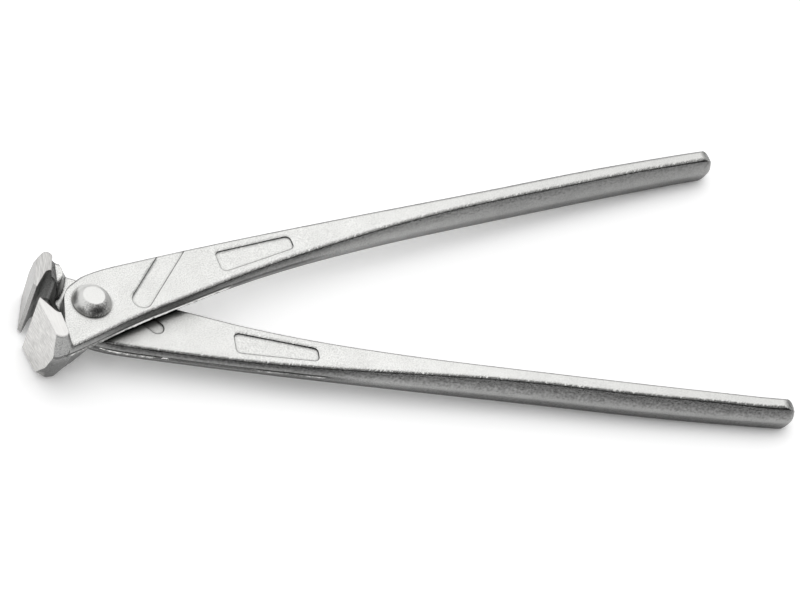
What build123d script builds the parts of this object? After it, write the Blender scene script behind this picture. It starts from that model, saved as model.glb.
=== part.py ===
from build123d import *
import os
from math import acos, atan2, cos, degrees, hypot, radians, sin, tan

os.makedirs("parts", exist_ok=True)

# Rebar tying pliers: two equal forgings, one turned over under the other, that turn on a headed rivet.
# The origin lies on the pivot axis, midway between the two lap faces. +X runs to the handle ends,
# +Z is the pivot axis. Each half is drawn closed in its own frame: x along the tool, y to its own
# handle side, z up from its lap face. Lengths are millimetres and angles degrees.

# Whole tool
jaw_reach = 19.6
edge_reach = 18.6
handle_reach = 230.4
handle_offset = 23.4
open_angle = 13.1
overrun = 2.0

# Joint plates and lap
plate_thickness = 5.4
plate_width = 21.8
lap_gap = 0.06
parting_height = 2.7
plate_front_radius = 8.7
plate_flank_angle = 30.0
plate_flank_run = 8.0

# Lever: stations from inside the jaw to the start of the round end
station_run_shares = (
    -0.056, 0.0, 0.039, 0.082, 0.135, 0.191, 0.252, 0.317,
    0.386, 0.46, 0.538, 0.621, 0.707, 0.799, 0.89, 0.983,
)
station_centre_shares = (
    -0.25, -0.044, 0.065, 0.151, 0.244, 0.341, 0.433, 0.515,
    0.588, 0.656, 0.718, 0.779, 0.845, 0.911, 0.963, 1.0,
)
station_flat_shares = (
    0.93, 1.0, 0.953, 0.868, 0.78, 0.677, 0.573, 0.478,
    0.391, 0.309, 0.246, 0.213, 0.21, 0.204, 0.186, 0.17,
)
station_growth_shares = (
    0.0, 0.0, 0.0, 0.0, 0.0, 0.02, 0.1, 0.24,
    0.437, 0.675, 0.888, 1.0, 1.0, 1.0, 0.99, 0.95,
)
station_edge_shares = (1.0, 1.0, 1.0, 1.0, 1.0, 1.0, 1.0, 1.0, 1.0, 1.0, 1.0, 1.0, 1.0, 1.05, 1.2, 2.0)
outer_edge_shares = (1.0, 1.0, 1.0, 1.0, 1.0, 1.05, 1.2, 1.4, 1.7, 1.95, 2.2, 2.4, 2.55, 2.55, 2.4, 2.0)
ridge_radius_shares = (1.0, 1.0, 1.0, 1.0, 1.0, 1.1, 1.3, 1.7, 2.4, 3.3, 4.2, 4.8, 5.0, 5.0, 4.6, 3.6)
handle_growth = 3.1
ridge_overhang_root = 0.65
ridge_overhang_end = 1.75
side_bulge = 0.25
flat_edge_radius = 0.6
ridge_radius = 0.8
nose_run = 224.2
nose_radius = 6.0
nose_rise = 0.04
nose_turn = 75.0

# Jaw block, from its lower end through the parting plane to its upper end
jaw_half_width = 11.65
bevel_height = 1.2
upper_front_lean = 5.5
lower_front_lean = 12.0
lower_front_depth = 10.9
lower_side_depth = 13.7
lower_corner_inset = 2.4
lower_back_run = 12.3
lower_root_run = 14.4
haunch_height = -4.8
haunch_front_depth = 14.8
haunch_side_depth = 15.9
haunch_corner_inset = 1.8
haunch_back_run = 11.6
middle_front_depth = 16.9
middle_side_depth = 17.4
middle_back_depth = 16.25
middle_corner_inset = 1.4
middle_back_run = 10.6
upper_front_depth = 14.4
upper_side_depth = 15.6
upper_corner_inset = 1.4
upper_back_run = 14.0
jaw_corner_radius = 1.6
upper_end_radius = 1.9
lower_end_radius = 1.0

# Throat behind the cutting edge
throat_depth = 6.7
throat_front_run = 14.9
throat_back_run = 11.1
throat_front_radius = 2.2
throat_back_radius = 1.6

# Shoulder between the jaw and the lap face, on the lap side
shoulder_height = 6.3
shoulder_root_run = 15.0
shoulder_foot_outer = (5.2, 14.0)
shoulder_foot_middle = (6.4, 9.9)
shoulder_foot_inner = (8.9, 4.3)
shoulder_top_outer = (9.1, 13.4)
shoulder_top_middle = (8.2, 10.3)
shoulder_top_inner = (10.9, 5.6)
shoulder_foot_root = 15.8
shoulder_top_root = 15.4
shoulder_sink = 0.6
jaw_foot_run = 10.4
jaw_foot_slope = 2.2
jaw_foot_depth = 14.0

# Recessed panels
panel_depth = 0.35
slot_angle = 46.0
slot_radius = 3.2
slot_length = 30.0
slot_end_run = 16.4
slot_end_drop = 1.6
lap_slot_radius = 2.35
lap_slot_run = 21.5
lap_slot_rise = 4.3
lap_slot_length = 12.0
badge_run = 46.0
badge_length = 26.5
badge_root_width = 8.0
badge_end_width = 5.0
badge_root_rise = 8.5
badge_end_rise = 12.2
badge_corner_radius = 1.7

# Pivot rivet
shank_radius = 4.0
bore_clearance = 0.05
seat_gap = 0.04
head_radius = 6.3
head_height = 3.4
head_flat_radius = 3.45
head_rim = 0.2
head_bulge_share = 0.11


def half_frame(turned_over):
    """Plane of one half: its x, y and z are the half's own, with z = 0 on its lap face."""
    angle = radians(open_angle / 2)
    side = -1 if turned_over else 1
    return Plane(
        origin=(0, 0, side * lap_gap / 2),
        x_dir=(cos(angle), side * sin(angle), 0),
        z_dir=(0, 0, side),
    )


def cross_plane(frame, run):
    """Plane square to the lever at a distance along it: its x is the half's y, its y the half's z."""
    return Plane(origin=frame.from_local_coords((run, 0, 0)), x_dir=frame.y_dir, z_dir=frame.x_dir)


def lever_section(index):
    """Centre, flat half width, ridge half width, top and bottom of the lever at a station."""
    growth = station_growth_shares[index]
    flat = plate_width / 2 * station_flat_shares[index]
    overhang = ridge_overhang_root + (ridge_overhang_end - ridge_overhang_root) * growth
    return (
        handle_offset * station_centre_shares[index],
        flat,
        flat + overhang,
        plate_thickness + handle_growth * growth,
        -handle_growth * growth,
    )


def round_corners(sketch, index, whole=True):
    """Round the ridges and the corners between flats and sides. The outer top corner is the roundest."""
    centre, flat, ridge, top, bottom = lever_section(index)
    edge_radius = flat_edge_radius * station_edge_shares[index]
    outer_radius = flat_edge_radius * outer_edge_shares[index]
    belly_radius = ridge_radius * ridge_radius_shares[index]
    corners = [
        (centre + flat, bottom, edge_radius),
        (centre + ridge, parting_height, belly_radius),
        (centre + flat, top, outer_radius),
    ]
    if whole:
        corners += [
            (centre - flat, bottom, edge_radius),
            (centre - ridge, parting_height, belly_radius),
            (centre - flat, top, edge_radius),
        ]
    for across, height, radius in corners:
        fillet(sketch.vertices().sort_by_distance((across, height, 0))[0], radius)


def lever_outline(section, whole=True):
    """Wire of a lever section: two flats, and two bulged sides that meet at the parting plane."""
    centre, flat, ridge, top, bottom = section
    middle = (flat + ridge) / 2 + side_bulge
    upper = (parting_height + top) / 2
    lower = (parting_height + bottom) / 2
    ThreePointArc((centre + flat, bottom), (centre + middle, lower), (centre + ridge, parting_height))
    ThreePointArc((centre + ridge, parting_height), (centre + middle, upper), (centre + flat, top))
    if whole:
        Line((centre + flat, top), (centre - flat, top))
        ThreePointArc((centre - flat, top), (centre - middle, upper), (centre - ridge, parting_height))
        ThreePointArc((centre - ridge, parting_height), (centre - middle, lower), (centre - flat, bottom))
        Line((centre - flat, bottom), (centre + flat, bottom))
    else:
        Polyline((centre + flat, top), (centre, top), (centre, bottom), (centre + flat, bottom))


def nose_outline(side, level):
    """Side view of what is cut away so that one flat rolls over at the tip. Side 1 is the top."""
    centre = level + side * (nose_rise - nose_radius)
    start, middle, end = (
        (nose_run + nose_radius * sin(angle), centre + side * nose_radius * cos(angle))
        for angle in (0, radians(nose_turn / 2), radians(nose_turn))
    )
    beyond = handle_reach + overrun
    clear = level + side * overrun
    ThreePointArc(start, middle, end)
    Polyline(end, (beyond, end[1]), (beyond, clear), (nose_run, clear), start)


def front_run(depth, lean):
    """Distance of the leaning front face from the pivot axis, at a depth from the tool's midline."""
    return jaw_reach - (depth - bevel_height) * tan(radians(lean))


def jaw_outline(lean, corner_radius, front_depth, corner_inset, side_depth, back_run, back_depth, root_run):
    """Plan of the jaw block at one level, open to the midline, where the throat cut shapes it."""
    front = front_run(front_depth, lean)
    FilletPolyline(
        (-front_run(0, lean), 0),
        (-front, -front_depth),
        (corner_inset - front, -side_depth),
        (-back_run, -back_depth),
        (-root_run, 0),
        radius=(0, 0, corner_radius, corner_radius, 0),
        close=True,
    )


def shoulder_outline(outer, middle, inner, root_depth):
    """Plan of the shoulder at one level: an arched wall that faces the pivot, and a root in the jaw."""
    ThreePointArc((-outer[0], -outer[1]), (-middle[0], -middle[1]), (-inner[0], -inner[1]))
    Polyline(
        (-inner[0], -inner[1]),
        (-shoulder_root_run, -inner[1]),
        (-shoulder_root_run, -root_depth),
        (-outer[0], -outer[1]),
    )


def badge_outline():
    """Plan of the long panel, which narrows towards the handle."""
    Polyline(
        (badge_run, badge_root_rise - badge_root_width / 2),
        (badge_run + badge_length, badge_end_rise - badge_end_width / 2),
        (badge_run + badge_length, badge_end_rise + badge_end_width / 2),
        (badge_run, badge_root_rise + badge_root_width / 2),
        close=True,
    )


def growth_at(run):
    """Height the lever gains on each side at a distance along it, read between two stations."""
    runs = [handle_reach * share for share in station_run_shares]
    index = max(i for i, station in enumerate(runs[:-1]) if station <= run)
    share = (run - runs[index]) / (runs[index + 1] - runs[index])
    low, high = station_growth_shares[index], station_growth_shares[index + 1]
    return handle_growth * (low + (high - low) * share)


def badge_plane(frame, side):
    """Floor of the long panel: it follows the lever's rise. Side 1 is the top, -1 the lap side."""
    start = growth_at(badge_run)
    end = growth_at(badge_run + badge_length)
    level = plate_thickness if side > 0 else 0
    rise = side * (end - start) / badge_length
    origin = frame.from_local_coords((0, 0, level + side * (start - panel_depth) - rise * badge_run))
    floor_x = frame.x_dir + frame.z_dir * rise
    floor_z = frame.z_dir - frame.x_dir * rise
    return Plane(origin=origin, x_dir=floor_x, z_dir=floor_z)


def slot_place(run, rise, length):
    """Middle of a slanted slot, from the centre of its closed end and its signed length."""
    angle = radians(slot_angle)
    return (run + length / 2 * cos(angle), rise + length / 2 * sin(angle))


def throat_outline():
    """Region cut away ahead of the plate: cutting edge, throat, round plate front and its flank."""
    corner = (-throat_back_run, -throat_depth)
    corner_angle = degrees(atan2(corner[1], corner[0])) % 360
    touch_angle = corner_angle - degrees(acos(plate_front_radius / hypot(*corner)))
    flank_angle = 90 + plate_flank_angle
    touch, middle, flank = (
        (plate_front_radius * cos(radians(angle)), plate_front_radius * sin(radians(angle)))
        for angle in (touch_angle, (touch_angle + flank_angle) / 2, flank_angle)
    )
    flank_end_rise = flank[1] + (plate_flank_run - flank[0]) * tan(radians(plate_flank_angle))
    FilletPolyline(
        (-edge_reach, 0),
        (-throat_front_run, -throat_depth),
        corner,
        touch,
        radius=(throat_front_radius, throat_back_radius),
    )
    ThreePointArc(touch, middle, flank)
    Polyline(
        flank,
        (plate_flank_run, flank_end_rise),
        (plate_flank_run, plate_width),
        (-jaw_reach - overrun, plate_width),
        (-jaw_reach - overrun, 0),
        (-edge_reach, 0),
    )


jaw_levels = (
    (
        -jaw_half_width,
        (lower_front_depth, lower_corner_inset, lower_side_depth),
        (lower_back_run, lower_side_depth, lower_root_run),
    ),
    (
        haunch_height,
        (haunch_front_depth, haunch_corner_inset, haunch_side_depth),
        (haunch_back_run, haunch_side_depth, haunch_back_run),
    ),
    (
        parting_height,
        (middle_front_depth, middle_corner_inset, middle_side_depth),
        (middle_back_run, middle_back_depth, middle_back_run),
    ),
    (
        jaw_half_width,
        (upper_front_depth, upper_corner_inset, upper_side_depth),
        (upper_back_run, upper_side_depth, upper_back_run),
    ),
)
shoulder_levels = (
    (shoulder_sink, (shoulder_foot_outer, shoulder_foot_middle, shoulder_foot_inner, shoulder_foot_root)),
    (-shoulder_height, (shoulder_top_outer, shoulder_top_middle, shoulder_top_inner, shoulder_top_root)),
)


def forged_half(frame, front_lean, end_radius, bore_radius):
    """One forging: jaw, joint plate, shoulder and handle, with its ground front and rivet bore."""
    last = lever_section(len(station_run_shares) - 1)
    with BuildPart() as half:
        # Lever and joint plate
        for index, share in enumerate(station_run_shares):
            section = lever_section(index)
            with BuildSketch(cross_plane(frame, handle_reach * share)) as station:
                with BuildLine():
                    lever_outline(section)
                make_face()
                round_corners(station, index)
        loft()
        # Round end of the handle, turned about its upright centre line
        end_plane = cross_plane(frame, handle_reach * station_run_shares[-1])
        with BuildSketch(end_plane) as end_section:
            with BuildLine():
                lever_outline(last, whole=False)
            make_face()
            round_corners(end_section, len(station_run_shares) - 1, whole=False)
        end_axis = Axis(end_plane.from_local_coords((last[0], 0, 0)), frame.z_dir)
        revolve(axis=end_axis, revolution_arc=-180)
        # Nose: both flats roll over towards the tip
        nose_origin = frame.from_local_coords((0, handle_offset + plate_width / 2, 0))
        for side, level in ((1, last[3]), (-1, last[4])):
            with BuildSketch(Plane(origin=nose_origin, x_dir=frame.x_dir, z_dir=-frame.y_dir)):
                with BuildLine():
                    nose_outline(side, level)
                make_face()
            extrude(amount=plate_width, mode=Mode.SUBTRACT)
        # Jaw block, widest at the parting plane
        for levels in zip(jaw_levels, jaw_levels[1:]):
            for height, front_shape, back_shape in levels:
                corner_radius = end_radius if height == jaw_half_width else jaw_corner_radius
                with BuildSketch(frame.offset(height)):
                    with BuildLine():
                        jaw_outline(front_lean, corner_radius, *front_shape, *back_shape)
                    make_face()
            loft(ruled=True)
        # Shoulder on the lap side
        for height, outline in shoulder_levels:
            with BuildSketch(frame.offset(height)):
                with BuildLine():
                    shoulder_outline(*outline)
                make_face()
        loft(ruled=True)
        # Sloped foot that blends the back of the jaw into the shoulder
        foot_origin = frame.from_local_coords((0, -jaw_foot_depth, -shoulder_height))
        with BuildSketch(Plane(origin=foot_origin, x_dir=frame.x_dir, z_dir=frame.y_dir)):
            with BuildLine():
                Polyline(
                    (-jaw_foot_run, 0),
                    (-jaw_foot_run - jaw_foot_slope, jaw_foot_slope),
                    (-shoulder_root_run, jaw_foot_slope),
                    (-shoulder_root_run, -shoulder_sink),
                    (-jaw_foot_run, -shoulder_sink),
                    close=True,
                )
            make_face()
        extrude(amount=jaw_foot_depth)
        # Throat, round plate front and midline, cut square through the whole width
        with BuildSketch(frame.offset(-jaw_half_width - overrun)):
            with BuildLine():
                throat_outline()
            make_face()
        extrude(amount=2 * (jaw_half_width + overrun), mode=Mode.SUBTRACT)
        # Ground bevel between the front face and the cutting edge
        with BuildSketch(frame.offset(-jaw_half_width - overrun)):
            with BuildLine():
                Polyline(
                    (-jaw_reach, -bevel_height),
                    (-edge_reach, 0),
                    (-edge_reach, overrun),
                    (-jaw_reach - overrun, overrun),
                    (-jaw_reach - overrun, -bevel_height),
                    close=True,
                )
            make_face()
        extrude(amount=2 * (jaw_half_width + overrun), mode=Mode.SUBTRACT)
        # Slanted slot on top, open at the handle side
        with BuildSketch(frame.offset(plate_thickness - panel_depth)):
            with Locations(slot_place(slot_end_run, -slot_end_drop, slot_length)):
                SlotCenterToCenter(slot_length, 2 * slot_radius, rotation=slot_angle)
        extrude(amount=panel_depth + overrun, mode=Mode.SUBTRACT)
        # Short slanted slot in the lap face
        with BuildSketch(frame.offset(panel_depth)):
            with Locations(slot_place(lap_slot_run, lap_slot_rise, -lap_slot_length)):
                SlotCenterToCenter(lap_slot_length, 2 * lap_slot_radius, rotation=slot_angle)
        extrude(amount=-panel_depth - overrun, mode=Mode.SUBTRACT)
        # Long panel on both sides
        for side in (1, -1):
            with BuildSketch(badge_plane(frame, side)) as badge:
                with BuildLine():
                    badge_outline()
                make_face()
                fillet(badge.vertices(), badge_corner_radius)
            extrude(amount=side * (panel_depth + overrun), mode=Mode.SUBTRACT)
        # Bore for the rivet
        with BuildSketch(frame):
            Circle(bore_radius)
        extrude(amount=plate_thickness + overrun, both=True, mode=Mode.SUBTRACT)
    return half


def rivet_head(side):
    """Half profile of a rivet head above (side 1) or below (side -1) the plates."""
    seat = side * (lap_gap / 2 + plate_thickness + seat_gap)
    rim = seat + side * head_rim
    crown = seat + side * head_height
    bulge = head_bulge_share * (head_height - head_rim)
    middle = ((head_radius + head_flat_radius) / 2 + bulge, (rim + crown) / 2 + side * bulge)
    Polyline((0, seat), (head_radius, seat), (head_radius, rim))
    ThreePointArc((head_radius, rim), middle, (head_flat_radius, crown))
    Polyline((head_flat_radius, crown), (0, crown), (0, seat))


plate_bore_radius = shank_radius + bore_clearance
upper_half = forged_half(half_frame(False), upper_front_lean, upper_end_radius, plate_bore_radius)
upper_half.part.label = "upper_half"
export_step(upper_half.part, "parts/upper_half.step")

lower_half = forged_half(half_frame(True), lower_front_lean, lower_end_radius, plate_bore_radius)
lower_half.part.label = "lower_half"
export_step(lower_half.part, "parts/lower_half.step")

with BuildPart() as pivot_rivet:
    with BuildSketch():
        Circle(shank_radius)
    extrude(amount=lap_gap / 2 + plate_thickness + seat_gap + head_rim, both=True)
    for side in (1, -1):
        with BuildSketch(Plane.XZ):
            with BuildLine():
                rivet_head(side)
            make_face()
        revolve(axis=Axis.Z)
pivot_rivet.part.label = "pivot_rivet"
export_step(pivot_rivet.part, "parts/pivot_rivet.step")
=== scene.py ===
from math import pi, radians

import bmesh
import bpy
from bpy.props import FloatProperty, FloatVectorProperty, IntProperty, PointerProperty
from bpy.types import Operator, Panel, PropertyGroup
from mathutils import Euler, Matrix, Vector, noise
from mathutils.bvhtree import BVHTree


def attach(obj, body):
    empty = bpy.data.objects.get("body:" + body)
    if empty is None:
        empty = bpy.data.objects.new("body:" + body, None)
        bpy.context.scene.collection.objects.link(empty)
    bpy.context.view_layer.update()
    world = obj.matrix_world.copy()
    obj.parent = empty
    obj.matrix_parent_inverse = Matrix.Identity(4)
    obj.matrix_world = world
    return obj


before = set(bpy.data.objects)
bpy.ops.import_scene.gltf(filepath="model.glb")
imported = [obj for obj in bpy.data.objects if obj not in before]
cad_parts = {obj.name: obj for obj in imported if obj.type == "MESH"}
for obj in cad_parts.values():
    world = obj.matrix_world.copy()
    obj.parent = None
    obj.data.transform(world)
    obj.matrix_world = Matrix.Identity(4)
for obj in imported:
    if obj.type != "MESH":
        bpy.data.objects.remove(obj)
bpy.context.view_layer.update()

bl_info = {
    "name": "Rebar tying pliers",
    "version": (1, 0, 0),
    "blender": (4, 5, 0),
    "location": "3D View > Sidebar > Pliers",
    "description": "Finishes the forged halves and the rivet of a pair of tying pliers, and sets the stage",
    "category": "Object",
}

# Places on a half, in metres, in its own frame: x runs from the rivet to the handle tip, y to the half's
# outer side and z up along the rivet. For the lower half that frame is turned over
HALF_OPENING = radians(6.55)
PARTING_HEIGHT = 0.0027
JAW_END_HEIGHT = 0.01168
JAW_END_SLACK = 0.0004
JAW_FRONT_END = -0.0155
GRAIN_FADE_START, GRAIN_FADE_END = 0.05, 0.13
PLATE_EDGE, PAST_PLATE = 0.002, 0.01
THICK_FLASH = 0.04
THICK_FLASH_REACH, THIN_FLASH_REACH = 0.03, 0.055
TIP_START, TIP_END = 0.12, 0.17
UPPER_GROOVE_START, LOWER_GROOVE_START = -0.03, -0.013
GROOVE_FADE_START, GROOVE_FADE_END = 0.07, 0.092
GROOVE_HALF_HEIGHT = 0.0006
SIDE_FALL = 0.004

# Sizes of the patterns, in metres
BORDER_RAG = 0.0008
THICK_PATCH = 0.006
LINE_LENGTH = 0.004
TEAR_SIZE = (0.0006, 0.002, 0.002)
TEAR_SLANT = 0.69
RIVET_PATCH = 0.003
RIVET_EDGE = 0.0002
SHEAR_GRAIN = 0.0012

# The flash strip, in metres: its middle lies a little under the skin, its runs taper off at both ends, and
# noise of three lengths makes it ragged, uneven and wandering. It is found from outside the side faces
STRIP_SIDES = 6
STRIP_SUNK = 0.00015
STRIP_LEAD = 0.003
RUN_TAPER = 0.004
RAGGED_LENGTH, SLOW_LENGTH, WANDER_LENGTH = 0.0016, 0.009, 0.012
WANDER = 0.0002
OUTSIDE = 0.06

# The floor touches both handle ends and one corner of a jaw, so it slopes in the tool's frame
FLOOR_HEIGHT = -0.012256
FLOOR_NORMAL = (-0.02964, -0.0558, 1.0)
SHADOW_REACH = 0.011

# Light and camera, in the tool's frame
DARK_WAY = (0.35, -0.85, 0.4)
UP_WAY = (-0.35, 0.0, 0.94)
SOFT_BOX_AIM = (0.06, 0.0, 0.0)
SOFT_BOX_WAY = (0.12, 0.36, 0.93)
SOFT_BOX_DISTANCE = 1.2
SOFT_BOX_SIZE = (0.8, 0.7)
CAMERA_PLACE = (-0.478606, -0.888963, 1.1648)
CAMERA_TURN = (radians(39.90268), radians(-15.67739), radians(-15.29653))
SENSOR_WIDTH = 36.0
WHITE = (1.0, 1.0, 1.0, 1.0)

# Sockets of the Mix node, which go by number because several share a name
MIX_A, MIX_B, MIX_COLOUR_A, MIX_COLOUR_B, MIXED_COLOUR = 2, 3, 6, 7, 2


def linear(hex_colour):
    """Linear RGBA of an sRGB hex colour such as "C8C9CA"."""
    channels = [int(hex_colour[i:i + 2], 16) / 255 for i in (0, 2, 4)]
    return [c / 12.92 if c <= 0.04045 else ((c + 0.055) / 1.055) ** 2.4 for c in channels] + [1.0]


def add_node(tree, kind, inputs=None, **settings):
    """Add a shader node. inputs maps a socket's name or number to a value, to an output or to a node, whose
    first output it takes."""
    node = tree.nodes.new(kind)
    for setting, value in settings.items():
        setattr(node, setting, value)
    for socket, value in (inputs or {}).items():
        if isinstance(value, bpy.types.Node):
            value = value.outputs[0]
        if isinstance(value, bpy.types.NodeSocket):
            tree.links.new(value, node.inputs[socket])
        else:
            node.inputs[socket].default_value = value
    return node


def new_material(name):
    """An empty material and its tree."""
    material = bpy.data.materials.new(name)
    material.use_nodes = True
    tree = material.node_tree
    tree.nodes.clear()
    return material, tree


# Sizes and colours that a user would change


class PLIERS_PG_plating(PropertyGroup):
    """Look of the zinc plated forgings and of the rivet."""

    flat_colour: FloatVectorProperty(
        name="Flat colour", description="Zinc on the coined flats", subtype="COLOR", size=4,
        min=0.0, max=1.0, default=linear("D6D6D4"),
    )
    # Darker than the flat colour, partly as duller trimmed zinc and partly as painted shade
    side_colour: FloatVectorProperty(
        name="Side colour", description="Zinc on the trimmed sides", subtype="COLOR", size=4,
        min=0.0, max=1.0, default=linear("A4A4A3"),
    )
    ground_colour: FloatVectorProperty(
        name="Ground colour", description="Zinc on the ground front of the jaws", subtype="COLOR", size=4,
        min=0.0, max=1.0, default=linear("D3D2D0"),
    )
    rivet_colour: FloatVectorProperty(
        name="Rivet colour", description="Zinc on the pressed rivet heads", subtype="COLOR", size=4,
        min=0.0, max=1.0, default=linear("D2D2D0"),
    )
    # Lighter than the other zinc, as a painted highlight
    flash_colour: FloatVectorProperty(
        name="Flash colour", description="Zinc on the sheared flash", subtype="COLOR", size=4,
        min=0.0, max=1.0, default=linear("EDEDEB"),
    )
    grain_size: FloatProperty(
        name="Grain size", description="Size of the grain left by scale and shot", unit="LENGTH",
        min=0.0002, max=0.003, precision=5, default=0.00036,
    )
    grain_depth: FloatProperty(
        name="Grain depth", description="Height of the grain", unit="LENGTH",
        min=0.0, max=0.0005, precision=6, default=0.00006,
    )
    line_pitch: FloatProperty(
        name="Grinding line pitch", description="Distance between grinding lines on the jaws",
        unit="LENGTH", min=0.0001, max=0.002, precision=5, default=0.00032,
    )
    edge_softness: FloatProperty(
        name="Edge softness", description="Radius that the light sees on sharp edges", unit="LENGTH",
        min=0.0, max=0.002, precision=5, default=0.00035,
    )
    # The roll carries painted shade
    roll_width: FloatProperty(
        name="Roll width", description="How far the dull roll reaches down the sides from each flat",
        unit="LENGTH", min=0.0, max=0.005, precision=5, default=0.0021,
    )
    # Reach of the painted shade in corners
    corner_reach: FloatProperty(
        name="Corner reach", description="How far the dull film reaches out of a corner", unit="LENGTH",
        min=0.0, max=0.01, precision=5, default=0.001,
    )
    # Reach of the painted shadow of the upper half on the lower flat
    cast_shadow_reach: FloatProperty(
        name="Lee reach", description="How far the dull film on the lower flat reaches from the upper half",
        unit="LENGTH", min=0.0, max=0.05, precision=5, default=0.008,
    )


class PLIERS_PG_flash(PropertyGroup):
    """Size of the flash line that trimming leaves along the parting plane."""

    width: FloatProperty(
        name="Width", description="Height of the line on the side face", unit="LENGTH",
        min=0.0001, max=0.002, precision=5, default=0.0007,
    )
    proud: FloatProperty(
        name="Proud", description="How far the line stands out where it is strongest", unit="LENGTH",
        min=0.0, max=0.002, precision=5, default=0.0007,
    )
    step: FloatProperty(
        name="Step", description="Distance between the sections of the line", unit="LENGTH",
        min=0.0003, max=0.01, precision=5, default=0.0008,
    )
    seed: IntProperty(name="Seed", description="Picks another ragged pattern", min=0, default=4)


class PLIERS_PG_stage(PropertyGroup):
    """Floor, light and camera."""

    floor_size: FloatProperty(
        name="Floor size", description="Side of the square floor", unit="LENGTH",
        min=0.5, max=20.0, default=6.0,
    )
    floor_colour: FloatVectorProperty(
        name="Floor colour", description="Colour of the floor", subtype="COLOR", size=4,
        min=0.0, max=1.0, default=linear("F4F4F4"),
    )
    floor_glow: FloatProperty(
        name="Floor glow", description="White added where the camera and metal see the floor",
        subtype="FACTOR", min=0.0, max=1.0, default=0.33,
    )
    key_power: FloatProperty(
        name="Key light", description="Power of the large soft box above and behind the tool",
        unit="POWER", min=0.0, max=100.0, default=1.5,
    )
    sky_level: FloatProperty(
        name="Sky level", description="Level of the light from all round", min=0.0, max=2.0, default=1.08,
    )
    horizon_level: FloatProperty(
        name="Horizon level", description="Level of the light low down", min=0.0, max=2.0, default=0.42,
    )
    dark_level: FloatProperty(
        name="Dark side level", description="Level of the dark side of the room",
        min=0.0, max=2.0, default=0.1,
    )
    lens: FloatProperty(
        name="Lens", description="Focal length of the camera", unit="CAMERA",
        min=20.0, max=500.0, default=225.0,
    )


# Materials


def half_turn(turned_over):
    """Rotation from the tool's frame to a half's own frame, as Euler angles."""
    return (pi if turned_over else 0.0, 0.0, -HALF_OPENING)


def own_way(tree, way, turn):
    """Take a direction from the world to the object, and give its parts in the half's own frame."""
    on_object = add_node(tree, "ShaderNodeVectorTransform", {0: way}, vector_type="NORMAL",
                         convert_from="WORLD", convert_to="OBJECT")
    turned = add_node(tree, "ShaderNodeMapping", {"Vector": on_object, "Rotation": turn},
                      vector_type="VECTOR")
    return on_object, add_node(tree, "ShaderNodeSeparateXYZ", {0: turned})


def grain_of(tree, own, at, plating):
    """Grain of the flats and of the sides."""
    # Scale and shot leave grain about 0.15 mm wide. It is drawn coarser than that so that it shows
    grain = add_node(tree, "ShaderNodeTexNoise",
                     {"Vector": own, "Scale": 1 / plating.grain_size, "Detail": 3.0, "Roughness": 0.62,
                      "Distortion": 0.2})
    # The pits on the sides are a little wider
    pit = add_node(tree, "ShaderNodeTexNoise",
                   {"Vector": own, "Scale": 0.9 / plating.grain_size, "Detail": 2.0, "Roughness": 0.6})
    # Both fade towards the handle tips, where the forging was worked less
    fade = add_node(tree, "ShaderNodeMapRange",
                    {"Value": at.outputs["X"], "From Min": GRAIN_FADE_START, "From Max": GRAIN_FADE_END,
                     "To Max": 0.55}, interpolation_type="SMOOTHSTEP")
    flat_grain = add_node(tree, "ShaderNodeMix", {"Factor": fade, MIX_A: grain, MIX_B: 0.5},
                          data_type="FLOAT")
    side_grain = add_node(tree, "ShaderNodeMix", {"Factor": fade, MIX_A: pit, MIX_B: 0.5},
                          data_type="FLOAT")
    return flat_grain, side_grain


def ground_parts(tree, at, face):
    """Where the jaw is ground, and which part of that is its end."""
    # The ground front looks away from the handles, ahead of the throat
    forward = add_node(tree, "ShaderNodeMapRange",
                       {"Value": face.outputs["X"], "From Min": -0.64, "From Max": -0.8},
                       interpolation_type="SMOOTHSTEP")
    ahead = add_node(tree, "ShaderNodeMath", {0: at.outputs["X"], 1: JAW_FRONT_END}, operation="LESS_THAN")
    ground_front = add_node(tree, "ShaderNodeMath", {0: forward, 1: ahead}, operation="MULTIPLY")
    # Both ends of the jaw are ground as well; nothing else reaches their height
    off_middle = add_node(tree, "ShaderNodeMath", {0: at.outputs["Z"]}, operation="ABSOLUTE")
    end = add_node(tree, "ShaderNodeMath", {0: off_middle, 1: JAW_END_HEIGHT - JAW_END_SLACK},
                   operation="GREATER_THAN")
    ground = add_node(tree, "ShaderNodeMath", {0: ground_front, 1: end}, operation="MAXIMUM")
    return ground, end


def grinding(tree, own, end, turned_over, ground_level, plating):
    """Lines of the grinding stone, and the shade that they give."""
    # The lines run across the jaw. Real ones stand about 0.1 mm apart and are drawn coarser to show
    place = add_node(tree, "ShaderNodeMapping",
                     {"Vector": own, "Scale": (1 / plating.line_pitch, 1 / LINE_LENGTH,
                                               1 / plating.line_pitch)}, vector_type="POINT")
    line = add_node(tree, "ShaderNodeTexNoise",
                    {"Vector": place, "Scale": 1.0, "Detail": 2.0, "Roughness": 0.6})
    if not turned_over:
        # The upper half's jaw end was finished on a finer stone
        fineness = add_node(tree, "ShaderNodeMath", {0: end, 1: 0.8}, operation="MULTIPLY")
        line = add_node(tree, "ShaderNodeMix", {"Factor": fineness, MIX_A: line, MIX_B: 0.5},
                        data_type="FLOAT")
    shade = add_node(tree, "ShaderNodeMapRange",
                     {"Value": line, "From Min": 0.35, "From Max": 0.65, "To Min": 0.76 * ground_level,
                      "To Max": 1.16 * ground_level})
    if turned_over:
        # On the lower half the ground front is drawn darker than its end
        depth = add_node(tree, "ShaderNodeMapRange", {"Value": end, "To Min": 0.8, "To Max": 1.0})
        shade = add_node(tree, "ShaderNodeMath", {0: shade, 1: depth}, operation="MULTIPLY")
    return line, shade


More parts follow.
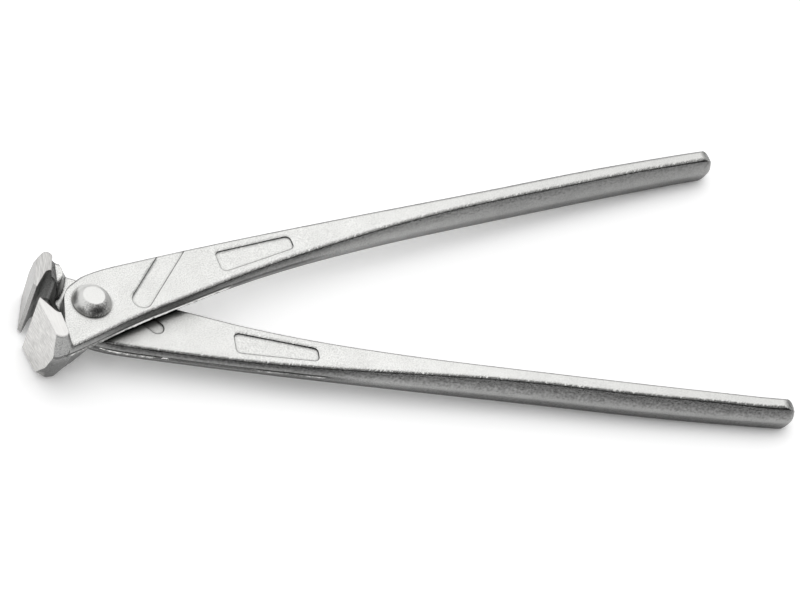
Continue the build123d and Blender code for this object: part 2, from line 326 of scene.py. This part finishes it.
def side_shading(tree, place, at, side_grain, turned_over):
    """Tone of the trimmed sides, with painted shade where they look down, below the parting plane and
    beside the flash line.
    """
    pits = add_node(tree, "ShaderNodeMapRange",
                    {"Value": side_grain, "From Min": 0.3, "From Max": 0.7, "To Min": 0.64, "To Max": 1.34})
    # Painted shade: they are drawn darker where they look down, and below the parting plane
    face = add_node(tree, "ShaderNodeSeparateXYZ", {0: place.outputs["Normal"]})
    underside_painted_shade = add_node(tree, "ShaderNodeMapRange",
                         {"Value": face.outputs["Z"], "From Min": 0.2, "From Max": -0.4, "To Min": 1.0,
                          "To Max": 0.8}, interpolation_type="SMOOTHSTEP")
    fall_end = PARTING_HEIGHT + (SIDE_FALL if turned_over else -SIDE_FALL)
    fall_painted_shade = add_node(tree, "ShaderNodeMapRange",
                    {"Value": at.outputs["Z"], "From Min": PARTING_HEIGHT, "From Max": fall_end,
                     "To Min": 1.0, "To Max": 0.56})
    low = add_node(tree, "ShaderNodeMath", {0: underside_painted_shade, 1: fall_painted_shade}, operation="MULTIPLY")
    # They are drawn darker around 40 mm from the rivet, and at the tips
    from_thick = add_node(tree, "ShaderNodeMath", {0: at.outputs["X"], 1: THICK_FLASH},
                          operation="SUBTRACT")
    off_thick = add_node(tree, "ShaderNodeMath", {0: from_thick}, operation="ABSOLUTE")
    root = add_node(tree, "ShaderNodeMapRange",
                    {"Value": off_thick, "From Min": THICK_FLASH_REACH, "From Max": THIN_FLASH_REACH,
                     "To Min": 0.7, "To Max": 1.0}, interpolation_type="SMOOTHSTEP")
    tip = add_node(tree, "ShaderNodeMapRange",
                   {"Value": at.outputs["X"], "From Min": TIP_START, "From Max": TIP_END, "To Min": 1.0,
                    "To Max": 0.94 if turned_over else 0.82}, interpolation_type="SMOOTHSTEP")
    length = add_node(tree, "ShaderNodeMath", {0: root, 1: tip}, operation="MULTIPLY")
    # The painted shade from below, times the tone along the length
    dull = add_node(tree, "ShaderNodeMath", {0: low, 1: length}, operation="MULTIPLY")
    # A painted shadow, like a groove's, lies beside the flash line, as far as the flash runs
    beside = add_node(tree, "ShaderNodeMath",
                      {0: at.outputs["Z"], 1: PARTING_HEIGHT, 2: GROOVE_HALF_HEIGHT}, operation="COMPARE")
    groove_start = LOWER_GROOVE_START if turned_over else UPPER_GROOVE_START
    run_in = add_node(tree, "ShaderNodeMath", {0: at.outputs["X"], 1: groove_start},
                      operation="GREATER_THAN")
    run_out = add_node(tree, "ShaderNodeMapRange",
                       {"Value": at.outputs["X"], "From Min": GROOVE_FADE_START,
                        "From Max": GROOVE_FADE_END, "To Min": 0.55, "To Max": 0.0},
                       interpolation_type="SMOOTHSTEP")
    run = add_node(tree, "ShaderNodeMath", {0: run_in, 1: run_out}, operation="MULTIPLY")
    groove_shadow = add_node(tree, "ShaderNodeMath", {0: beside, 1: run}, operation="MULTIPLY")
    beyond = add_node(tree, "ShaderNodeMath", {0: 1.0, 1: groove_shadow}, operation="SUBTRACT")
    # Both painted shades, with the tone along the length
    trimmed = add_node(tree, "ShaderNodeMath", {0: dull, 1: beyond}, operation="MULTIPLY")
    return add_node(tree, "ShaderNodeMath", {0: pits, 1: trimmed}, operation="MULTIPLY")


def edge_roll(tree, own, upright, rag_shift, wide_way, ground, turned_over):
    """Where the roll between flat and side lies, and the painted shade on it."""
    # The roll ends on the side with a ragged border. The outer one is the wider
    wide_upright = add_node(tree, "ShaderNodeMath", {0: wide_way.outputs["Z"]}, operation="ABSOLUTE")
    near_flat = add_node(tree, "ShaderNodeMath", {0: wide_upright, 1: rag_shift}, operation="ADD")
    outer = add_node(tree, "ShaderNodeMapRange",
                     {"Value": wide_way.outputs["Y"], "From Min": 0.0, "From Max": 0.3, "To Max": 0.1})
    reach = add_node(tree, "ShaderNodeMath", {0: near_flat, 1: outer}, operation="ADD")
    roll_end = add_node(tree, "ShaderNodeMapRange", {"Value": reach, "From Min": 0.22, "From Max": 0.5},
                        interpolation_type="SMOOTHSTEP")
    roll_start = add_node(tree, "ShaderNodeMapRange",
                          {"Value": upright, "From Min": 0.97, "From Max": 0.88},
                          interpolation_type="SMOOTHSTEP")
    # The trimming tool tore short slanting strokes into the flats, on the upper half's inner side and on
    # the lower half's outer side
    tear_place = add_node(tree, "ShaderNodeMapping",
                          {"Vector": own, "Scale": TEAR_SIZE,
                           "Rotation": (0.0, 0.0, TEAR_SLANT if turned_over else -TEAR_SLANT)},
                          vector_type="TEXTURE")
    tear = add_node(tree, "ShaderNodeTexNoise",
                    {"Vector": tear_place, "Scale": 1.0, "Detail": 2.0, "Roughness": 0.6})
    tear_reach = add_node(tree, "ShaderNodeMapRange",
                          {"Value": tear, "From Min": 0.35, "From Max": 0.62, "To Min": 0.2,
                           "To Max": 2.2})
    torn_way = add_node(tree, "ShaderNodeMath",
                        {0: wide_way.outputs["Y"], 1: 1.0 if turned_over else -1.0}, operation="MULTIPLY")
    edge_way = add_node(tree, "ShaderNodeMath", {0: torn_way, 1: 0.1}, operation="SUBTRACT")
    ragged_way = add_node(tree, "ShaderNodeMath", {0: edge_way, 1: tear_reach}, operation="MULTIPLY")
    bite = add_node(tree, "ShaderNodeMapRange", {"Value": ragged_way, "From Min": 0.06, "From Max": 0.13})
    # The other sides have a narrow even rim
    rim = add_node(tree, "ShaderNodeMapRange", {"Value": torn_way, "From Min": -0.3, "From Max": -0.5})
    torn = add_node(tree, "ShaderNodeMath", {0: bite, 1: rim}, operation="MAXIMUM")
    bitten = add_node(tree, "ShaderNodeMath", {0: roll_start, 1: torn}, operation="MAXIMUM")
    # Grinding took the roll off the jaws
    forged = add_node(tree, "ShaderNodeMath", {0: 1.0, 1: ground}, operation="SUBTRACT")
    left = add_node(tree, "ShaderNodeMath", {0: forged, 1: roll_end}, operation="MULTIPLY")
    roll = add_node(tree, "ShaderNodeMath", {0: bitten, 1: left}, operation="MULTIPLY")
    # Its painted shade is darkest in the tears, and darker on the even side than on the torn one
    side_level = add_node(tree, "ShaderNodeMapRange",
                          {"Value": torn_way, "From Min": -0.2, "From Max": 0.2, "To Min": 0.66,
                           "To Max": 0.58 if turned_over else 0.42})
    roll_shade_depth = add_node(tree, "ShaderNodeMix",
                        {"Factor": roll_start, MIX_A: 0.88 if turned_over else 0.72, MIX_B: side_level},
                        data_type="FLOAT")
    # Painted shade on the roll
    dull = add_node(tree, "ShaderNodeMath", {0: roll, 1: roll_shade_depth}, operation="MULTIPLY")
    return roll, add_node(tree, "ShaderNodeMath", {0: 1.0, 1: dull}, operation="SUBTRACT")


def painted_shading(tree, place, at, soft_face, flat, ground, turned_over, plating):
    """Painted shade in corners and on sharp edges, and on the lower half a painted shadow of the upper
    half.
    """
    # Painted shade in the corners
    corner = add_node(tree, "ShaderNodeAmbientOcclusion", {"Distance": plating.corner_reach}, samples=8)
    corner_shade = add_node(tree, "ShaderNodeMapRange",
                           {"Value": corner.outputs["AO"], "From Min": 0.5, "From Max": 0.95,
                            "To Min": 0.25, "To Max": 1.0})
    # Painted shade on sharp edges, apart from where they are ground
    bend = add_node(tree, "ShaderNodeVectorMath", {0: soft_face, 1: place.outputs["Normal"]},
                    operation="DOT_PRODUCT")
    edge_darkening = add_node(tree, "ShaderNodeMapRange",
                    {"Value": bend.outputs["Value"], "From Min": 0.86, "From Max": 0.98, "To Min": 0.6,
                     "To Max": 1.0})
    edge_shade = add_node(tree, "ShaderNodeMath", {0: edge_darkening, 1: ground}, operation="MAXIMUM")
    painted_shade = add_node(tree, "ShaderNodeMath", {0: corner_shade, 1: edge_shade}, operation="MULTIPLY")
    if turned_over:
        # Painted shadow of the upper half on the lower half's flat, past the joint plate
        upper_shadow = add_node(tree, "ShaderNodeAmbientOcclusion", {"Distance": plating.cast_shadow_reach}, samples=8)
        upper_shadow_level = add_node(tree, "ShaderNodeMapRange",
                             {"Value": upper_shadow.outputs["AO"], "From Min": 0.5, "From Max": 0.92,
                              "To Min": 0.4, "To Max": 1.0})
        past_plate = add_node(tree, "ShaderNodeMapRange",
                              {"Value": at.outputs["X"], "From Min": PLATE_EDGE, "From Max": PAST_PLATE})
        shadowed_flat = add_node(tree, "ShaderNodeMath", {0: flat, 1: past_plate}, operation="MULTIPLY")
        upper_shadow_shade = add_node(tree, "ShaderNodeMix", {"Factor": shadowed_flat, MIX_A: 1.0, MIX_B: upper_shadow_level},
                            data_type="FLOAT")
        painted_shade = add_node(tree, "ShaderNodeMath", {0: painted_shade, 1: upper_shadow_shade}, operation="MULTIPLY")
    return painted_shade


def plated_forging(name, turned_over, ground_level, plating):
    """Bright zinc plate on a drop forged steel half."""
    # Forging and shot leave fine grain under the zinc, so the coined flats are satin and pale. Trimming
    # leaves the sides pitted; they are drawn darker than the flats, partly as duller zinc and partly as
    # painted shade, with a ragged roll below each flat that carries painted shade. Grinding leaves fine
    # bright lines on the front and the ends of the jaw
    material, tree = new_material(name)
    place = add_node(tree, "ShaderNodeTexCoord")
    turn = half_turn(turned_over)
    own = add_node(tree, "ShaderNodeMapping", {"Vector": place.outputs["Object"], "Rotation": turn},
                   vector_type="POINT")
    at = add_node(tree, "ShaderNodeSeparateXYZ", {0: own})
    # The light sees every sharp edge as slightly rounded. The wider rounding finds the rolls
    soft = add_node(tree, "ShaderNodeBevel", {"Radius": plating.edge_softness}, samples=8)
    soft_face, face = own_way(tree, soft, turn)
    wide = add_node(tree, "ShaderNodeBevel", {"Radius": plating.roll_width}, samples=8)
    wide_way = own_way(tree, wide, turn)[1]

    # Faces within 22 degrees of level are flat and past 39 degrees they are sides, with a ragged border
    upright = add_node(tree, "ShaderNodeMath", {0: face.outputs["Z"]}, operation="ABSOLUTE")
    rag = add_node(tree, "ShaderNodeTexNoise",
                   {"Vector": own, "Scale": 1 / BORDER_RAG, "Detail": 2.0, "Roughness": 0.6})
    rag_shift = add_node(tree, "ShaderNodeMapRange",
                         {"Value": rag, "From Min": 0.25, "From Max": 0.75, "To Min": -0.12,
                          "To Max": 0.12})
    ragged = add_node(tree, "ShaderNodeMath", {0: upright, 1: rag_shift}, operation="ADD")
    flat = add_node(tree, "ShaderNodeMapRange", {"Value": ragged, "From Min": 0.78, "From Max": 0.93},
                    interpolation_type="SMOOTHSTEP")

    flat_grain, side_grain = grain_of(tree, own, at, plating)
    ground, end = ground_parts(tree, at, face)
    line, ground_shade = grinding(tree, own, end, turned_over, ground_level, plating)
    side_shade = side_shading(tree, place, at, side_grain, turned_over)
    roll, roll_shade = edge_roll(tree, own, upright, rag_shift, wide_way, ground, turned_over)
    painted_shade = painted_shading(tree, place, at, soft_face, flat, ground, turned_over, plating)

    # Colour
    side_colour = add_node(tree, "ShaderNodeVectorMath", {0: plating.side_colour[:3], "Scale": side_shade},
                           operation="SCALE")
    flat_shade = add_node(tree, "ShaderNodeMapRange",
                          {"Value": flat_grain, "From Min": 0.35, "From Max": 0.59, "To Min": 0.76,
                           "To Max": 1.12})
    flat_colour = add_node(tree, "ShaderNodeVectorMath", {0: plating.flat_colour[:3], "Scale": flat_shade},
                           operation="SCALE")
    ground_colour = add_node(tree, "ShaderNodeVectorMath",
                             {0: plating.ground_colour[:3], "Scale": ground_shade}, operation="SCALE")
    skin_colour = add_node(tree, "ShaderNodeMix",
                           {"Factor": flat, MIX_COLOUR_A: side_colour, MIX_COLOUR_B: flat_colour},
                           data_type="RGBA")
    clean_colour = add_node(tree, "ShaderNodeMix",
                            {"Factor": ground, MIX_COLOUR_A: skin_colour.outputs[MIXED_COLOUR],
                             MIX_COLOUR_B: ground_colour}, data_type="RGBA")
    # Painted shade of corners, edges, the upper half's shadow and the rolls
    dull = add_node(tree, "ShaderNodeMath", {0: painted_shade, 1: roll_shade}, operation="MULTIPLY")
    colour = add_node(tree, "ShaderNodeVectorMath",
                      {0: clean_colour.outputs[MIXED_COLOUR], "Scale": dull}, operation="SCALE")

    # Roughness, with slow patches where the zinc lies thicker
    patch = add_node(tree, "ShaderNodeTexNoise",
                     {"Vector": own, "Scale": 1 / THICK_PATCH, "Detail": 2.0, "Roughness": 0.5})
    skin_rough = add_node(tree, "ShaderNodeMapRange",
                          {"Value": patch, "From Min": 0.3, "From Max": 0.7, "To Min": 0.36,
                           "To Max": 0.46})
    roll_rough = add_node(tree, "ShaderNodeMix", {"Factor": roll, MIX_A: skin_rough, MIX_B: 0.27},
                          data_type="FLOAT")
    rough = add_node(tree, "ShaderNodeMix", {"Factor": ground, MIX_A: roll_rough, MIX_B: 0.34},
                     data_type="FLOAT")

    # Relief: grain on the flats, pits on the sides, ragged rolls between them, lines where it is ground
    skin_height = add_node(tree, "ShaderNodeMix", {"Factor": flat, MIX_A: side_grain, MIX_B: flat_grain},
                           data_type="FLOAT")
    roll_height = add_node(tree, "ShaderNodeMath", {0: rag, 1: roll}, operation="MULTIPLY")
    forged_height = add_node(tree, "ShaderNodeMath", {0: roll_height, 1: 2.5, 2: skin_height},
                             operation="MULTIPLY_ADD")
    height = add_node(tree, "ShaderNodeMix", {"Factor": ground, MIX_A: forged_height, MIX_B: line},
                      data_type="FLOAT")
    relief = add_node(tree, "ShaderNodeBump",
                      {"Strength": 1.0, "Distance": plating.grain_depth, "Height": height, "Normal": soft})
    metal = add_node(tree, "ShaderNodeBsdfPrincipled",
                     {"Base Color": colour, "Metallic": 1.0, "Roughness": rough, "Normal": relief})
    add_node(tree, "ShaderNodeOutputMaterial", {"Surface": metal})
    return material


def pressed_rivet(name, plating):
    """Bright zinc plate on a cold headed steel rivet."""
    # The polished header leaves smooth heads with a soft mirror shine. Their front is drawn darker and
    # mottled, as painted shade
    material, tree = new_material(name)
    place = add_node(tree, "ShaderNodeTexCoord")
    grain = add_node(tree, "ShaderNodeTexNoise",
                     {"Vector": place.outputs["Object"], "Scale": 0.7 / plating.grain_size, "Detail": 2.0,
                      "Roughness": 0.6})
    patch = add_node(tree, "ShaderNodeTexNoise",
                     {"Vector": place.outputs["Object"], "Scale": 1 / RIVET_PATCH, "Detail": 2.0,
                      "Roughness": 0.5})
    rough = add_node(tree, "ShaderNodeMapRange",
                     {"Value": patch, "From Min": 0.3, "From Max": 0.7, "To Min": 0.3, "To Max": 0.4})
    # Painted shade in the corner where the head seats
    corner = add_node(tree, "ShaderNodeAmbientOcclusion", {"Distance": plating.corner_reach}, samples=8)
    corner_shade = add_node(tree, "ShaderNodeMapRange",
                           {"Value": corner.outputs["AO"], "From Min": 0.5, "From Max": 0.85, "To Min": 0.2,
                            "To Max": 1.0})
    front_way = Vector((0.05, -0.8, 0.6)).normalized()
    facing_front = add_node(tree, "ShaderNodeVectorMath", {0: place.outputs["Normal"], 1: front_way},
                       operation="DOT_PRODUCT")
    mottle = add_node(tree, "ShaderNodeMath", {0: grain, 1: 0.9, 2: facing_front.outputs["Value"]},
                      operation="MULTIPLY_ADD")
    front_painted_shade = add_node(tree, "ShaderNodeMapRange",
                            {"Value": mottle, "From Min": 1.18, "From Max": 1.5, "To Min": 1.0,
                             "To Max": 0.3})
    painted_shade = add_node(tree, "ShaderNodeMath", {0: corner_shade, 1: front_painted_shade}, operation="MULTIPLY")
    colour = add_node(tree, "ShaderNodeVectorMath", {0: plating.rivet_colour[:3], "Scale": painted_shade},
                      operation="SCALE")
    soft = add_node(tree, "ShaderNodeBevel", {"Radius": RIVET_EDGE}, samples=6)
    relief = add_node(tree, "ShaderNodeBump",
                      {"Strength": 1.0, "Distance": plating.grain_depth, "Height": grain, "Normal": soft})
    metal = add_node(tree, "ShaderNodeBsdfPrincipled",
                     {"Base Color": colour, "Metallic": 1.0, "Roughness": rough, "Normal": relief})
    add_node(tree, "ShaderNodeOutputMaterial", {"Surface": metal})
    return material


def sheared_flash(name, plating):
    """Bright zinc plate on the sheared edge of the flash."""
    # Shearing leaves a clean face with a lower roughness, and its colour is drawn lighter than the other
    # zinc as a painted highlight, so the edge is the brightest line on the sides
    material, tree = new_material(name)
    place = add_node(tree, "ShaderNodeTexCoord")
    grain = add_node(tree, "ShaderNodeTexNoise",
                     {"Vector": place.outputs["Object"], "Scale": 1 / SHEAR_GRAIN, "Detail": 3.0,
                      "Roughness": 0.6})
    relief = add_node(tree, "ShaderNodeBump",
                      {"Strength": 1.0, "Distance": plating.grain_depth, "Height": grain})
    metal = add_node(tree, "ShaderNodeBsdfPrincipled",
                     {"Base Color": plating.flash_colour, "Metallic": 1.0, "Roughness": 0.25,
                      "Normal": relief})
    add_node(tree, "ShaderNodeOutputMaterial", {"Surface": metal})
    return material


def white_floor(name, stage):
    """Matt white painted board."""
    # It shows no grain. Its white is topped up only where it is seen, so that it keeps its soft shadows
    material, tree = new_material(name)
    path = add_node(tree, "ShaderNodeLightPath")
    seen = add_node(tree, "ShaderNodeMath",
                    {0: path.outputs["Is Camera Ray"], 1: path.outputs["Is Glossy Ray"]},
                    operation="MAXIMUM")
    shown = add_node(tree, "ShaderNodeMath", {0: seen, 1: path.outputs["Is Transmission Ray"]},
                     operation="MAXIMUM")
    # Less white is added close to the tool, a painted shadow that deepens its real shadow there
    open_sky = add_node(tree, "ShaderNodeAmbientOcclusion", {"Distance": SHADOW_REACH}, samples=8)
    lit = add_node(tree, "ShaderNodeMapRange",
                   {"Value": open_sky.outputs["AO"], "From Min": 0.36, "From Max": 0.8,
                    "To Min": stage.floor_glow * 0.3, "To Max": stage.floor_glow})
    glow = add_node(tree, "ShaderNodeMath", {0: shown, 1: lit}, operation="MULTIPLY")
    light = add_node(tree, "ShaderNodeEmission", {"Color": WHITE, "Strength": glow})
    matt = add_node(tree, "ShaderNodeBsdfDiffuse", {"Color": stage.floor_colour})
    both = add_node(tree, "ShaderNodeAddShader", {0: matt, 1: light})
    add_node(tree, "ShaderNodeOutputMaterial", {"Surface": both})
    return material


# Pieces


def new_object(name, mesh):
    """Put a finished bmesh in the scene as an object of its own."""
    data = bpy.data.meshes.new(name)
    mesh.to_mesh(data)
    mesh.free()
    piece = bpy.data.objects.new(name, data)
    bpy.context.scene.collection.objects.link(piece)
    return piece


def run_strength(run, strong_runs):
    """Strength of the flash at a distance from the rivet, from the strongest run there."""
    return max(
        min(1.0, (run - start + RUN_TAPER) / RUN_TAPER, (end - run + RUN_TAPER) / RUN_TAPER) * level
        for start, end, level in strong_runs
    )


def flash_strip(name, node_name, turned_over, side, strong_runs, flash):
    """Ragged flash line on one side of a half, laid on the forging's own surface."""
    to_tool = Euler(half_turn(turned_over)).to_matrix().to_4x4().inverted()
    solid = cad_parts[node_name]
    surface = BVHTree.FromPolygons(
        [vertex.co.copy() for vertex in solid.data.vertices],
        [tuple(polygon.vertices) for polygon in solid.data.polygons],
    )
    inward = to_tool.to_3x3() @ Vector((0.0, -side, 0.0))
    upward = to_tool.to_3x3() @ Vector((0.0, 0.0, 1.0))
    turn = Matrix((inward, upward, inward.cross(upward))).transposed().to_4x4()
    mesh = bmesh.new()
    ring = bmesh.ops.create_circle(mesh, segments=STRIP_SIDES, radius=1.0, cap_ends=False,
                                   matrix=Matrix.Rotation(pi / STRIP_SIDES, 4, "Z"))["verts"]
    edges = list(mesh.edges)
    last = None
    run = strong_runs[0][0] - STRIP_LEAD
    while run <= strong_runs[-1][1] + STRIP_LEAD:
        # The sides and the three noises each read their own line of the noise
        ragged = noise.noise(Vector((run / RAGGED_LENGTH, side * 3.1, flash.seed)))
        slow = noise.noise(Vector((run / SLOW_LENGTH, side * 7.7, flash.seed + 2.0)))
        rise = WANDER * noise.noise(Vector((run / WANDER_LENGTH, side * 5.3, flash.seed + 5.0)))
        strength = max(0.0, run_strength(run, strong_runs))
        proud = flash.proud * strength * (0.9 + 0.25 * ragged + 0.3 * slow)
        half_height = flash.width / 2 * (0.8 + 0.5 * slow)
        origin = to_tool @ Vector((run, side * OUTSIDE, PARTING_HEIGHT + rise))
        hit = surface.ray_cast(origin, inward)[0]
        if hit is None:
            raise RuntimeError(f"{name}: no surface to lay the flash on at {run * 1000:.1f} mm")
        # The middle of the strip lies under the skin, so it dives out of sight where it is weak
        size = Matrix.Diagonal((proud + STRIP_SUNK / 2, half_height, 1.0, 1.0))
        now = Matrix.Translation(hit + inward * STRIP_SUNK) @ turn @ size
        if last is not None:
            out = bmesh.ops.extrude_edge_only(mesh, edges=edges)["geom"]
            ring = [item for item in out if isinstance(item, bmesh.types.BMVert)]
            edges = [item for item in out if isinstance(item, bmesh.types.BMEdge)]
        bmesh.ops.transform(mesh, matrix=now if last is None else now @ last.inverted(), verts=ring)
        last = now
        run += flash.step
    bmesh.ops.holes_fill(mesh, edges=mesh.edges, sides=STRIP_SIDES)
    bmesh.ops.recalc_face_normals(mesh, faces=mesh.faces)
    return new_object(name, mesh)


class PLIERS_OT_plate_halves(Operator):
    """Give both forged halves their zinc plating"""

    bl_idname = "pliers.plate_halves"
    bl_label = "Plate the halves"

    def execute(self, context):
        plating = context.scene.pliers_plating
        # The lower half's ground jaw is drawn darker than the upper's
        halves = (("upper_half", False, 1.0), ("lower_half", True, 0.78))
        for node_name, turned_over, ground_level in halves:
            material = plated_forging(f"bright_zinc_forged_{node_name}", turned_over, ground_level, plating)
            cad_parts[node_name].material_slots[0].material = material
        return {"FINISHED"}


class PLIERS_OT_finish_rivet(Operator):
    """Give the pivot rivet its smooth zinc finish"""

    bl_idname = "pliers.finish_rivet"
    bl_label = "Finish the rivet"

    def execute(self, context):
        material = pressed_rivet("bright_zinc_headed_rivet", context.scene.pliers_plating)
        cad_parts["pivot_rivet"].material_slots[0].material = material
        return {"FINISHED"}


class PLIERS_OT_add_flash_lines(Operator):
    """Lay the trimmed flash along the sides of both halves"""

    bl_idname = "pliers.add_flash_lines"
    bl_label = "Add the flash lines"

    def execute(self, context):
        scene = context.scene
        material = sheared_flash("bright_zinc_sheared_flash", scene.pliers_plating)
        # Side 1 is a half's outer side and -1 its inner one. Each run has a start, an end and a level. The
        # lower half's outer line starts where the upper half doesn't reach it at the widest opening
        lines = (
            ("upper_flash_outer", "upper_half", False, 1, ((0.01, 0.07, 0.7),)),
            ("upper_flash_inner", "upper_half", False, -1, ((-0.012, 0.008, 1.0), (0.01, 0.046, 1.35))),
            ("lower_flash_outer", "lower_half", True, 1,
             ((0.006, 0.02, 1.1), (0.026, 0.05, 0.55), (0.054, 0.074, 1.0))),
            ("lower_flash_inner", "lower_half", True, -1, ((0.01, 0.07, 0.7),)),
        )
        for name, node_name, turned_over, side, runs in lines:
            strip = flash_strip(name, node_name, turned_over, side, runs, scene.pliers_flash)
            strip.data.materials.append(material)
            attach(strip, node_name.split("_")[0])
        return {"FINISHED"}


# Stage


def lay_floor(stage):
    """Level white floor under the tool, which leans on it."""
    lean = Vector((0.0, 0.0, 1.0)).rotation_difference(Vector(FLOOR_NORMAL)).to_matrix().to_4x4()
    mesh = bmesh.new()
    bmesh.ops.create_grid(mesh, x_segments=1, y_segments=1, size=stage.floor_size / 2,
                          matrix=Matrix.Translation((0.0, 0.0, FLOOR_HEIGHT)) @ lean)
    floor = new_object("floor", mesh)
    floor.data.materials.append(white_floor("matt_white_board", stage))


def light_room(scene, stage):
    """Light from all round, white where the camera sees it, and dark low down in front of the tool."""
    world = bpy.data.worlds.new("studio")
    scene.world = world
    world.use_nodes = True
    tree = world.node_tree
    tree.nodes.clear()
    way = add_node(tree, "ShaderNodeTexCoord").outputs["Generated"]
    height = add_node(tree, "ShaderNodeVectorMath", {0: way, 1: Vector(UP_WAY).normalized()},
                      operation="DOT_PRODUCT")
    dome = add_node(tree, "ShaderNodeMapRange",
                    {"Value": height.outputs["Value"], "From Min": 0.0, "From Max": 0.4,
                     "To Min": stage.horizon_level, "To Max": stage.sky_level},
                    interpolation_type="SMOOTHSTEP")
    towards = add_node(tree, "ShaderNodeVectorMath", {0: way, 1: Vector(DARK_WAY).normalized()},
                       operation="DOT_PRODUCT")
    shade = add_node(tree, "ShaderNodeMapRange",
                     {"Value": towards.outputs["Value"], "From Min": 0.6, "From Max": 0.86, "To Min": dome,
                      "To Max": stage.dark_level}, interpolation_type="SMOOTHSTEP")
    path = add_node(tree, "ShaderNodeLightPath")
    level = add_node(tree, "ShaderNodeMix",
                     {"Factor": path.outputs["Is Camera Ray"], MIX_A: shade, MIX_B: 1.0}, data_type="FLOAT")
    sky = add_node(tree, "ShaderNodeBackground", {"Color": WHITE, "Strength": level})
    add_node(tree, "ShaderNodeOutputWorld", {"Surface": sky})


def hang_soft_box(scene, stage):
    """Large soft box above and behind the tool."""
    lamp = bpy.data.lights.new("soft_box", "AREA")
    lamp.shape = "RECTANGLE"
    lamp.size, lamp.size_y = SOFT_BOX_SIZE
    lamp.energy = stage.key_power
    soft_box = bpy.data.objects.new("soft_box", lamp)
    aim = Vector(SOFT_BOX_AIM)
    soft_box.location = aim + Vector(SOFT_BOX_WAY).normalized() * SOFT_BOX_DISTANCE
    soft_box.rotation_euler = (soft_box.location - aim).to_track_quat("Z", "Y").to_euler()
    scene.collection.objects.link(soft_box)


def place_camera(scene, stage):
    """Camera at the photograph's viewing angle."""
    view = bpy.data.cameras.new("camera")
    view.lens = stage.lens
    view.sensor_width = SENSOR_WIDTH
    camera = bpy.data.objects.new("camera", view)
    camera.location = CAMERA_PLACE
    camera.rotation_euler = CAMERA_TURN
    scene.collection.objects.link(camera)
    scene.camera = camera


class PLIERS_OT_set_stage(Operator):
    """Set the floor, the lights and the camera"""

    bl_idname = "pliers.set_stage"
    bl_label = "Set the stage"

    def execute(self, context):
        scene = context.scene
        stage = scene.pliers_stage
        lay_floor(stage)
        light_room(scene, stage)
        hang_soft_box(scene, stage)
        place_camera(scene, stage)
        scene.view_settings.view_transform = "Standard"
        return {"FINISHED"}


class PLIERS_PT_workshop(Panel):
    """Steps of the finish, with their sizes and colours."""

    bl_idname = "PLIERS_PT_workshop"
    bl_label = "Tying pliers"
    bl_space_type = "VIEW_3D"
    bl_region_type = "UI"
    bl_category = "Pliers"

    def draw(self, context):
        scene = context.scene
        for group, operators in (
            (scene.pliers_plating, (PLIERS_OT_plate_halves, PLIERS_OT_finish_rivet)),
            (scene.pliers_flash, (PLIERS_OT_add_flash_lines,)),
            (scene.pliers_stage, (PLIERS_OT_set_stage,)),
        ):
            box = self.layout.box()
            for setting in group.bl_rna.properties:
                if not setting.is_readonly and setting.identifier != "name":
                    box.prop(group, setting.identifier)
            for operator in operators:
                box.operator(operator.bl_idname)


CLASSES = (
    PLIERS_PG_plating,
    PLIERS_PG_flash,
    PLIERS_PG_stage,
    PLIERS_OT_plate_halves,
    PLIERS_OT_finish_rivet,
    PLIERS_OT_add_flash_lines,
    PLIERS_OT_set_stage,
    PLIERS_PT_workshop,
)


def register():
    for cls in CLASSES:
        bpy.utils.register_class(cls)
    bpy.types.Scene.pliers_plating = PointerProperty(type=PLIERS_PG_plating)
    bpy.types.Scene.pliers_flash = PointerProperty(type=PLIERS_PG_flash)
    bpy.types.Scene.pliers_stage = PointerProperty(type=PLIERS_PG_stage)


def unregister():
    del bpy.types.Scene.pliers_stage
    del bpy.types.Scene.pliers_flash
    del bpy.types.Scene.pliers_plating
    for cls in reversed(CLASSES):
        bpy.utils.unregister_class(cls)


def main():
    register()
    bpy.ops.pliers.plate_halves()
    bpy.ops.pliers.finish_rivet()
    bpy.ops.pliers.add_flash_lines()
    bpy.ops.pliers.set_stage()


if __name__ == "__main__":
    main()
